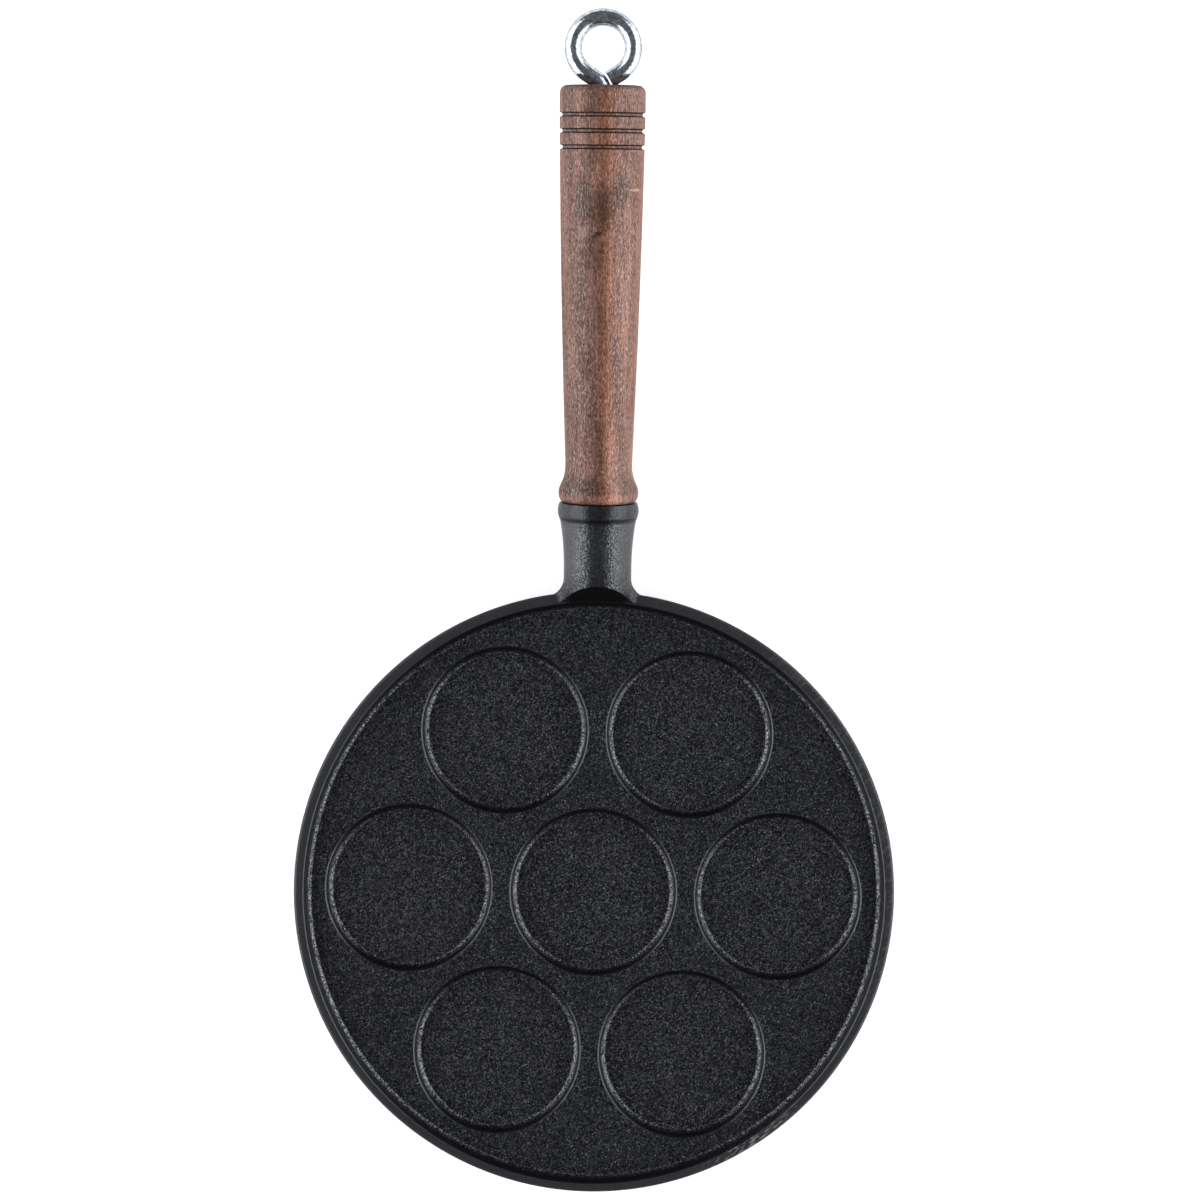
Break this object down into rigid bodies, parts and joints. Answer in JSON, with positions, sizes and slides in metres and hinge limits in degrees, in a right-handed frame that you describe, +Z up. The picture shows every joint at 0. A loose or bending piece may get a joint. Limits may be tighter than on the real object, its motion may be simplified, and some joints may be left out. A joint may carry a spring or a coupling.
{
  "type": "pancake pan",
  "caption": "Round low-rimmed cast-iron pan with small round wells for pancakes, a cast neck, and a turned wooden handle held on by a long eye bolt that also hangs it.",
  "frame": {"origin": "centre of the pan's flat base, in the plane it stands on", "axes": "+Z up out of the wells, +Y from the pan's centre out along the handle"},
  "size_m": [0.23, 0.4489, 0.0558],
  "materials": {
    "cast_iron": "dark seasoned casting with a fine grain",
    "handle_wood": "brown stained hardwood, satin",
    "plated_steel": "bright plated steel rod"
  },
  "bodies": {
    "pan": {"pan_casting": "cast_iron"},
    "handle": {"wooden_handle": "handle_wood"},
    "eye": {"eye_bolt": "plated_steel"}
  },
  "joints": [
    {"name": "handle_withdraw", "type": "slide", "parent": "pan", "child": "handle", "axis": [0, 0.9903, 0.1392], "range_m": [0, 0.012]},
    {"name": "eye_turn", "type": "hinge", "parent": "handle", "child": "eye", "pos_m": [0, 0.11547, 0.0136], "axis": [0, 0.9903, 0.1392], "range_deg": [0, 4320]}
  ],
  "couplings": [
    {"joint": "eye_turn", "follows": "handle_withdraw", "rad_per_m": 6283.2}
  ]
}
